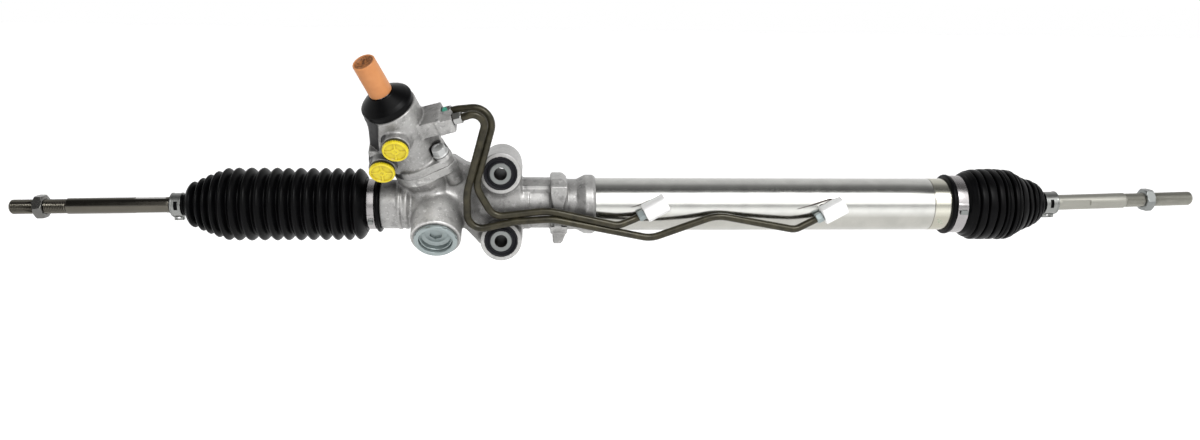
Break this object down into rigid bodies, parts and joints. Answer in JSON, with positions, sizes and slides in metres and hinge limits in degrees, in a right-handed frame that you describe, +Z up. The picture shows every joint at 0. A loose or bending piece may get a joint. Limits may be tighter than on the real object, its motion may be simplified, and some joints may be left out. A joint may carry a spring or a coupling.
{
  "type": "hydraulic steering rack",
  "caption": "Hydraulic rack-and-pinion steering gear with valve unit, pressure pipes, rubber bellows and threaded tie rods.",
  "frame": {"origin": "middle between the two mounting bushes, at half their depth", "axes": "+X along the rack towards the cylinder end, -Y towards the viewer along the bush axes, +Z up; the rack axis lies 3 mm below the origin"},
  "size_m": [1.182, 0.1353, 0.1999],
  "materials": {
    "cast_aluminium": "sand cast, matt",
    "steel_tube": "drawn, satin",
    "steel_bright": "bright zinc",
    "steel_zinc": "dull zinc",
    "steel_machined": "ground",
    "steel_dark": "phosphated",
    "pipe_coated": "dark olive coating",
    "rubber_black": "matt",
    "seal_plastic": "natural",
    "plastic_orange": "moulded",
    "plastic_yellow": "moulded"
  },
  "bodies": {
    "housing": {"gear_housing": "cast_aluminium", "valve_housing": "cast_aluminium", "cylinder_tube": "steel_tube", "port_boss_left": "steel_bright", "port_boss_right": "steel_bright", "inner_rack_seal": "seal_plastic", "outer_rack_bush": "seal_plastic", "bush_retaining_ring": "steel_dark", "lower_bearing": "steel_machined", "upper_bearing": "steel_machined", "input_bearing": "steel_machined", "pinion_end_cap": "steel_zinc", "pinion_seal": "rubber_black", "input_seal": "rubber_black", "seal_retaining_ring": "steel_dark", "valve_housing_bolts": "steel_zinc", "dust_cover": "rubber_black", "rack_guide": "cast_aluminium", "rack_guide_liner": "seal_plastic", "rack_guide_spring": "steel_dark", "rack_guide_plug": "steel_zinc", "rack_guide_lock_ring": "steel_zinc", "bushing_rubber_upper": "rubber_black", "bushing_rubber_lower": "rubber_black", "bushing_sleeve_upper": "steel_zinc", "bushing_sleeve_lower": "steel_zinc", "pressure_pipe_short": "pipe_coated", "pressure_pipe_long": "pipe_coated", "valve_flare_nuts": "steel_zinc", "cylinder_flare_nuts": "steel_zinc", "large_clamp_left": "steel_bright", "large_clamp_right": "steel_bright", "bellows_left": "rubber_black", "bellows_right": "rubber_black"},
    "rack": {"rack_bar": "steel_machined", "rack_piston": "steel_machined", "piston_ring": "seal_plastic", "claw_washer_left": "steel_zinc", "claw_washer_right": "steel_zinc", "ball_socket_left": "steel_dark", "ball_socket_right": "steel_dark"},
    "pinion": {"pinion": "steel_machined", "torsion_bar": "steel_machined", "valve_sleeve": "steel_machined", "valve_seal_rings": "seal_plastic"},
    "input": {"input_shaft": "steel_machined"},
    "transit_sleeve": {"transit_sleeve": "plastic_orange"},
    "plug_upper": {"port_plug_upper": "plastic_yellow"},
    "plug_lower": {"port_plug_lower": "plastic_yellow"},
    "seat_left": {"ball_seat_left": "seal_plastic"},
    "seat_right": {"ball_seat_right": "seal_plastic"},
    "rod_left": {"tie_rod_left": "steel_zinc", "lock_nut_left": "steel_zinc", "small_clip_left": "steel_bright"},
    "rod_right": {"tie_rod_right": "steel_zinc", "lock_nut_right": "steel_zinc", "small_clip_right": "steel_bright"}
  },
  "joints": [
    {"name": "rack_slide", "type": "slide", "parent": "housing", "child": "rack", "axis": [1, 0, 0], "range_m": [-0.02, 0.105], "deforming": ["bellows_left", "bellows_right"]},
    {"name": "pinion_spin", "type": "hinge", "parent": "housing", "child": "pinion", "pos_m": [-0.062, 0.01244, 0.00539], "axis": [-0.3173, -0.5303, 0.7862], "range_deg": [-170, 880]},
    {"name": "valve_twist", "type": "hinge", "parent": "pinion", "child": "input", "pos_m": [-0.062, 0.01244, 0.00539], "axis": [-0.3173, -0.5303, 0.7862], "range_deg": [-4, 4], "stiffness_Nm_per_rad": 20},
    {"name": "transit_sleeve_pull", "type": "slide", "parent": "input", "child": "transit_sleeve", "axis": [-0.3173, -0.5303, 0.7862], "range_m": [0, 0.04]},
    {"name": "plug_upper_pull", "type": "slide", "parent": "housing", "child": "plug_upper", "axis": [0, -0.829, -0.5592], "range_m": [0, 0.03]},
    {"name": "plug_lower_pull", "type": "slide", "parent": "housing", "child": "plug_lower", "axis": [0, -0.829, -0.5592], "range_m": [0, 0.03]},
    {"name": "ball_left_lift", "type": "hinge", "parent": "rack", "child": "seat_left", "pos_m": [-0.2675, 0, -0.003], "axis": [0, 1, 0], "range_deg": [-20, 20]},
    {"name": "ball_left_sweep", "type": "hinge", "parent": "seat_left", "child": "rod_left", "pos_m": [-0.2675, 0, -0.003], "axis": [0, 0, 1], "range_deg": [-10, 10]},
    {"name": "ball_right_lift", "type": "hinge", "parent": "rack", "child": "seat_right", "pos_m": [0.5175, 0, -0.003], "axis": [0, 1, 0], "range_deg": [-20, 20]},
    {"name": "ball_right_sweep", "type": "hinge", "parent": "seat_right", "child": "rod_right", "pos_m": [0.5175, 0, -0.003], "axis": [0, 0, 1], "range_deg": [-10, 10]}
  ],
  "couplings": [
    {"joint": "pinion_spin", "follows": "rack_slide", "rad_per_m": 145.9}
  ]
}
